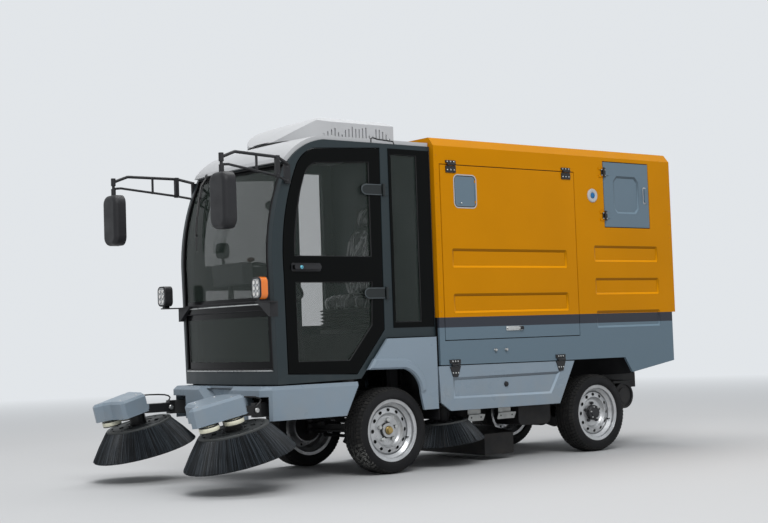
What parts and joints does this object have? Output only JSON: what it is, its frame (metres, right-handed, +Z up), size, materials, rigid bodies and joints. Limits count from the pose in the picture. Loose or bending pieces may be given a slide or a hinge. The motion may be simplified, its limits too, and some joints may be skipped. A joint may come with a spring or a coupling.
{
  "type": "industrial sweeper",
  "caption": "Compact four-wheel street sweeper with a closed cab, a box body with opening side and tail doors, swinging front disc brushes and middle disc brushes.",
  "frame": {"origin": "on the ground, under the middle of the overall length and width", "axes": "+X forward, +Y to the vehicle's left, +Z up"},
  "size_m": [4.4606, 1.9098, 2.44],
  "materials": {
    "black_plastic": "moulded black plastic",
    "body_grey": "satin blue-grey paint",
    "box_yellow": "gloss golden yellow paint",
    "bristle": "stiff bristles",
    "cap_white": "gloss off-white moulding",
    "door_black": "gloss black",
    "floor_mat": "ribbed mat",
    "frame_black": "matt black chassis paint",
    "galvanised": "galvanised sheet",
    "glass": "clear tinted glass",
    "lamp": "lamp lens and black housing",
    "pale_grey": "gloss pale blue-grey paint",
    "red_lamp": "red lens",
    "rim_steel": "silver painted steel",
    "seat_black": "black vinyl",
    "slate": "satin dark slate paint",
    "tyre": "rubber"
  },
  "bodies": {
    "chassis": {"chassis_frame": "frame_black", "front_axle": "frame_black", "rear_axle": "frame_black", "battery_pack": "black_plastic", "cab_frame": "slate", "cab_floor": "floor_mat", "cab_roof": "cap_white", "air_conditioner": "cap_white", "cab_glass": "glass", "front_bumper": "pale_grey", "front_fenders": "pale_grey", "lower_body": "body_grey", "box_upper": "box_yellow", "tool_boxes": "frame_black", "underbody_units": "frame_black", "debris_bin": "galvanised", "fan_unit": "galvanised", "seat": "seat_black", "seat_base": "black_plastic", "dashboard": "black_plastic", "headlamps": "lamp", "mirrors": "black_plastic", "rear_lamps": "red_lamp", "brush_brackets": "frame_black", "middle_brush_brackets": "frame_black", "suction_nozzle": "frame_black"},
    "wheel_front_left": {"tyre_front_left": "tyre", "rim_front_left": "rim_steel"},
    "wheel_front_right": {"tyre_front_right": "tyre", "rim_front_right": "rim_steel"},
    "wheel_rear_left": {"tyre_rear_left": "tyre", "rim_rear_left": "rim_steel"},
    "wheel_rear_right": {"tyre_rear_right": "tyre", "rim_rear_right": "rim_steel"},
    "knuckle_left": {"knuckle_left": "frame_black"},
    "cab_door_left": {"cab_door_left": "door_black", "cab_door_glass_left": "glass"},
    "side_door_left": {"side_door_left": "box_yellow"},
    "tool_panel_left": {"tool_panel_left": "pale_grey"},
    "brush_arm_left": {"brush_arm_left": "frame_black"},
    "brush_head_left": {"brush_head_left": "pale_grey"},
    "brush_front_left": {"brush_front_left": "bristle"},
    "brush_middle_left": {"brush_middle_left": "bristle"},
    "knuckle_right": {"knuckle_right": "frame_black"},
    "cab_door_right": {"cab_door_right": "door_black", "cab_door_glass_right": "glass"},
    "side_door_right": {"side_door_right": "box_yellow"},
    "tool_panel_right": {"tool_panel_right": "pale_grey"},
    "brush_arm_right": {"brush_arm_right": "frame_black"},
    "brush_head_right": {"brush_head_right": "pale_grey"},
    "brush_front_right": {"brush_front_right": "bristle"},
    "brush_middle_right": {"brush_middle_right": "bristle"},
    "tie_rod": {"tie_rod": "frame_black"},
    "steering_wheel": {"steering_wheel": "black_plastic"},
    "service_door": {"service_door": "body_grey"},
    "hatch": {"hatch_lid": "pale_grey"},
    "tail_door": {"tail_door": "box_yellow"}
  },
  "joints": [
    {"name": "steer_left", "type": "hinge", "parent": "chassis", "child": "knuckle_left", "pos_m": [0.66569, 0.392, 0.288], "axis": [0, 0, 1], "range_deg": [-30, 30]},
    {"name": "steer_right", "type": "hinge", "parent": "chassis", "child": "knuckle_right", "pos_m": [0.66569, -0.392, 0.288], "axis": [0, 0, 1], "range_deg": [-30, 30]},
    {"name": "wheel_spin_front_left", "type": "hinge", "parent": "knuckle_left", "child": "wheel_front_left", "pos_m": [0.66569, 0.482, 0.288], "axis": [0, 1, 0], "continuous": true},
    {"name": "wheel_spin_front_right", "type": "hinge", "parent": "knuckle_right", "child": "wheel_front_right", "pos_m": [0.66569, -0.482, 0.288], "axis": [0, 1, 0], "continuous": true},
    {"name": "wheel_spin_rear_left", "type": "hinge", "parent": "chassis", "child": "wheel_rear_left", "pos_m": [-1.29031, 0.482, 0.288], "axis": [0, 1, 0], "continuous": true},
    {"name": "wheel_spin_rear_right", "type": "hinge", "parent": "chassis", "child": "wheel_rear_right", "pos_m": [-1.29031, -0.482, 0.288], "axis": [0, 1, 0], "continuous": true},
    {"name": "tie_rod_slide", "type": "slide", "parent": "chassis", "child": "tie_rod", "axis": [0, 1, 0], "range_m": [-0.062, 0.062]},
    {"name": "steering_wheel_turn", "type": "hinge", "parent": "chassis", "child": "steering_wheel", "pos_m": [1.18569, 0, 1.31], "axis": [-0.5952, 0, 0.8036], "range_deg": [-452, 452]},
    {"name": "cab_door_left_hinge", "type": "hinge", "parent": "chassis", "child": "cab_door_left", "pos_m": [0.68769, 0.587, 1.55], "axis": [0, 0, 1], "range_deg": [0, 80]},
    {"name": "cab_door_right_hinge", "type": "hinge", "parent": "chassis", "child": "cab_door_right", "pos_m": [0.68769, -0.587, 1.55], "axis": [0, 0, -1], "range_deg": [0, 80]},
    {"name": "side_door_left_hinge", "type": "hinge", "parent": "chassis", "child": "side_door_left", "pos_m": [-0.44331, 0.619, 2.089], "axis": [1, 0, 0], "range_deg": [0, 95]},
    {"name": "side_door_right_hinge", "type": "hinge", "parent": "chassis", "child": "side_door_right", "pos_m": [-0.44331, -0.619, 2.089], "axis": [-1, 0, 0], "range_deg": [0, 95]},
    {"name": "service_door_hinge", "type": "hinge", "parent": "chassis", "child": "service_door", "pos_m": [-1.41331, 0.619, 1.935], "axis": [0, 0, -1], "range_deg": [0, 100]},
    {"name": "hatch_hinge", "type": "hinge", "parent": "side_door_left", "child": "hatch", "pos_m": [-0.10931, 0.608, 1.905], "axis": [0, 0, 1], "range_deg": [0, 95]},
    {"name": "tail_door_hinge", "type": "hinge", "parent": "chassis", "child": "tail_door", "pos_m": [-2.20931, 0, 2.154], "axis": [0, 1, 0], "range_deg": [0, 85]},
    {"name": "tool_panel_left_hinge", "type": "hinge", "parent": "chassis", "child": "tool_panel_left", "pos_m": [-0.37431, 0.619, 0.702], "axis": [1, 0, 0], "range_deg": [0, 90]},
    {"name": "tool_panel_right_hinge", "type": "hinge", "parent": "chassis", "child": "tool_panel_right", "pos_m": [-0.37431, -0.619, 0.702], "axis": [-1, 0, 0], "range_deg": [0, 90]},
    {"name": "brush_swing_left", "type": "hinge", "parent": "chassis", "child": "brush_arm_left", "pos_m": [1.54569, 0.47, 0.485], "axis": [0, 0, 1], "range_deg": [-20, 10]},
    {"name": "brush_lift_left", "type": "hinge", "parent": "brush_arm_left", "child": "brush_head_left", "pos_m": [1.73569, 0.54, 0.485], "axis": [0, -1, 0], "range_deg": [-13, 12]},
    {"name": "brush_spin_left", "type": "hinge", "parent": "brush_head_left", "child": "brush_front_left", "pos_m": [1.92169, 0.609, 0.374], "axis": [0.2351, 0, 0.972], "continuous": true},
    {"name": "middle_brush_spin_left", "type": "hinge", "parent": "chassis", "child": "brush_middle_left", "pos_m": [0.06569, 0.372, 0.3], "axis": [0.1045, 0, 0.9945], "continuous": true},
    {"name": "brush_swing_right", "type": "hinge", "parent": "chassis", "child": "brush_arm_right", "pos_m": [1.54569, -0.47, 0.485], "axis": [0, 0, -1], "range_deg": [-20, 10]},
    {"name": "brush_lift_right", "type": "hinge", "parent": "brush_arm_right", "child": "brush_head_right", "pos_m": [1.73569, -0.54, 0.485], "axis": [0, -1, 0], "range_deg": [-13, 12]},
    {"name": "brush_spin_right", "type": "hinge", "parent": "brush_head_right", "child": "brush_front_right", "pos_m": [1.92169, -0.609, 0.374], "axis": [0.2351, 0, 0.972], "continuous": true},
    {"name": "middle_brush_spin_right", "type": "hinge", "parent": "chassis", "child": "brush_middle_right", "pos_m": [0.06569, -0.372, 0.3], "axis": [0.1045, 0, 0.9945], "continuous": true}
  ],
  "couplings": [
    {"joint": "steer_right", "follows": "steer_left", "ratio": 1},
    {"joint": "tie_rod_slide", "follows": "steer_left", "m_per_rad": -0.115},
    {"joint": "steering_wheel_turn", "follows": "steer_left", "ratio": 15}
  ]
}
